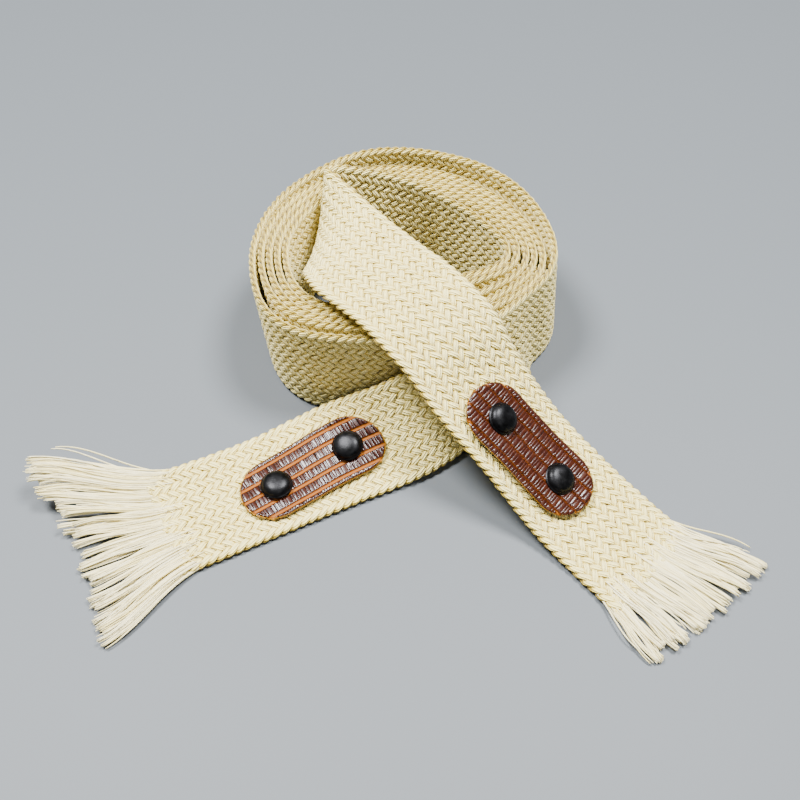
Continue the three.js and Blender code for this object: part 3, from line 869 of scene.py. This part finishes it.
def rivet_cap(name, s, t):
    bpy.ops.object.select_all(action="DESELECT")
    bpy.ops.mesh.primitive_cylinder_add(
        vertices=CAP_SIDES, radius=CAP_RADIUS * MM, depth=RIM_HEIGHT * MM,
        location=(0, 0, RIM_HEIGHT / 2 * MM))
    piece = bpy.context.active_object
    piece.name = piece.data.name = name
    bpy.ops.object.transform_apply(location=True, rotation=True, scale=True)
    top = next(f.index for f in piece.data.polygons if f.normal.z > 0.9)
    bpy.ops.object.mode_set(mode="EDIT")
    bpy.ops.mesh.select_all(action="DESELECT")
    bpy.ops.object.mode_set(mode="OBJECT")
    piece.data.polygons[top].select = True
    bpy.ops.object.mode_set(mode="EDIT")
    bpy.ops.mesh.select_mode(type="FACE")
    bpy.ops.mesh.inset(thickness=RIM_STEP * MM)
    bpy.ops.transform.translate(value=(0, 0, RIM_SLOPE * MM))
    radius = dome_radius = CAP_RADIUS - RIM_STEP
    height = shoulder = RIM_HEIGHT + RIM_SLOPE
    for ring in range(1, DOME_RINGS + 1):
        new_radius = dome_radius * math.cos(ring / DOME_RINGS * DOME_ARC)
        rise = (1 - (new_radius / dome_radius) ** DOME_FLATNESS) ** 0.5
        new_height = shoulder + (CAP_HEIGHT - shoulder) * rise
        bpy.ops.mesh.inset(thickness=(radius - new_radius) * MM)
        bpy.ops.transform.translate(value=(0, 0, (new_height - height) * MM))
        radius, height = new_radius, new_height
    bpy.ops.object.mode_set(mode="OBJECT")
    apply_modifier(piece, "BEVEL", width=CAP_ROUNDING * MM, segments=2,
                   limit_method="ANGLE", angle_limit=math.radians(50))
    apply_modifier(piece, "SUBSURF", levels=1, render_levels=1)

    r = CAP_RADIUS
    forward = band_point(s + r, t, CAP_BASE) - band_point(s - r, t, CAP_BASE)
    aside = band_point(s, t + r, CAP_BASE) - band_point(s, t - r, CAP_BASE)
    up = unit(np.cross(forward, aside))
    forward = unit(forward)
    turn = np.stack([forward, np.cross(up, forward), up], 1)
    move_vertices(piece, vertices_of(piece) @ turn.T + band_point(s, t, CAP_BASE) * MM)
    piece.data.materials.append(metal)
    bpy.ops.object.shade_smooth_by_angle(angle=math.radians(40))
    return piece


caps = {}
for end, places in rivet_places.items():
    for number, (s, t) in enumerate(places, 1):
        caps[end, number] = rivet_cap(f"rivet_dome_{end}_{number}", s, t)
print("caps", [c.name for c in caps.values()])

# %% [markdown]
# Under each cap a post goes through leather and braid, and ends in a flat back.  These are parts of
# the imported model, and need only their metal.

# %% Rivet posts
for node_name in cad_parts:
    if node_name.startswith("rivet_post"):
        post = bpy.data.objects[node_name]
        post.data.materials.clear()
        post.data.materials.append(bright_post)

# %% [markdown]
# ## Fastening pieces to their bodies
# The roll is one body, and each free end is another.  The roll's braid and shadow sheet ride on the
# roll, and each end's fringe, patch and caps ride on that end; the braid and shadow sheet of the free
# ends are left unattached.  Points on the band are read either side of each bending line, about two
# centimetres apart, less past the outer line because a patch starts there, but nothing is hinged or
# bent.

# %% Bodies
BEND_BEFORE = 11                                   # mm of band on the roll's side of the line
BEND_PAST_OUTER, BEND_PAST_INNER = 6, 11


def line_point(s):
    return tuple(float(v) for v in band_point(s, 0, 0) * MM)


for piece in (outer_braid, outer_shadow_sheet):
    line_point(HINGE_OUTER + BEND_BEFORE)
    line_point(HINGE_OUTER - BEND_PAST_OUTER)
    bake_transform(piece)
for piece in (inner_braid, inner_shadow_sheet):
    line_point(LENGTH - HINGE_INNER - BEND_BEFORE)
    line_point(LENGTH - HINGE_INNER + BEND_PAST_INNER)
    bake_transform(piece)
for piece in (*roll_braids, roll_shadow_sheet):
    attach(piece, "roll")
for end, loose_piece in (("outer", outer_fringe), ("inner", inner_fringe)):
    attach(loose_piece, f"{end}_end")
    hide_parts(*[f"fringe_tuft_{end}_{k + 1}" for k in range(len(TUFT_TIPS[end]))])
    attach(patches[end], f"{end}_end")
    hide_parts(f"leather_patch_{end}")
for (end, number), cap in caps.items():
    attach(cap, f"{end}_end")
    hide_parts(f"rivet_cap_{end}_{number}")
stands_for = {
    "band_outer_end": [outer_braid, outer_shadow_sheet],
    "band_inner_end": [inner_braid, inner_shadow_sheet],
    "band_roll": [roll_shadow_sheet, *roll_braids],
}
for node_name, cotton_pieces in stands_for.items():
    for piece in cotton_pieces:
        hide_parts(node_name)

# %% [markdown]


# %% [markdown]
# ## Table and light
# A plain pale table, two soft lights overhead, one to each side, and a weak one in front.

# %% Table
TABLE_SIZE = 6                                     # metres, well past the view
bpy.ops.object.select_all(action="DESELECT")
bpy.ops.mesh.primitive_plane_add(size=TABLE_SIZE)
table = bpy.context.active_object
table.name = "table"
bpy.ops.object.mode_set(mode="EDIT")
bpy.ops.mesh.subdivide(number_cuts=3)
bpy.ops.object.mode_set(mode="OBJECT")
table_top, table_shader = material("table top", Roughness=0.6)
table_shader.inputs["Base Color"].default_value = tone(87, 92, 96)
table.data.materials.append(table_top)


# %% Light
def area_light(name, watts, size, place, aim=(0, 0, 0)):
    data = bpy.data.lights.new(name, "AREA")
    data.energy = watts
    data.shape = "DISK"
    data.size = size
    lamp = bpy.data.objects.new(name, data)
    lamp.location = place
    lamp.rotation_euler = (Vector(aim) - Vector(place)).to_track_quat("-Z", "Y").to_euler()
    bpy.context.collection.objects.link(lamp)


area_light("overhead left", watts=36, size=0.36, place=(-0.42, 0.14, 1.0))
area_light("overhead right", watts=32, size=0.36, place=(0.36, 0.16, 1.0))
area_light("front", watts=1.4, size=0.5, place=(0.3, -0.62, 0.62), aim=(0.05, -0.15, 0))

ROOM_TINT, ROOM_STRENGTH = (0.93, 0.97, 1.0, 1), 0.13
world = bpy.data.worlds.new("room")
world.use_nodes = True
background = world.node_tree.nodes["Background"]
background.inputs["Color"].default_value = ROOM_TINT
background.inputs["Strength"].default_value = ROOM_STRENGTH
bpy.context.scene.world = world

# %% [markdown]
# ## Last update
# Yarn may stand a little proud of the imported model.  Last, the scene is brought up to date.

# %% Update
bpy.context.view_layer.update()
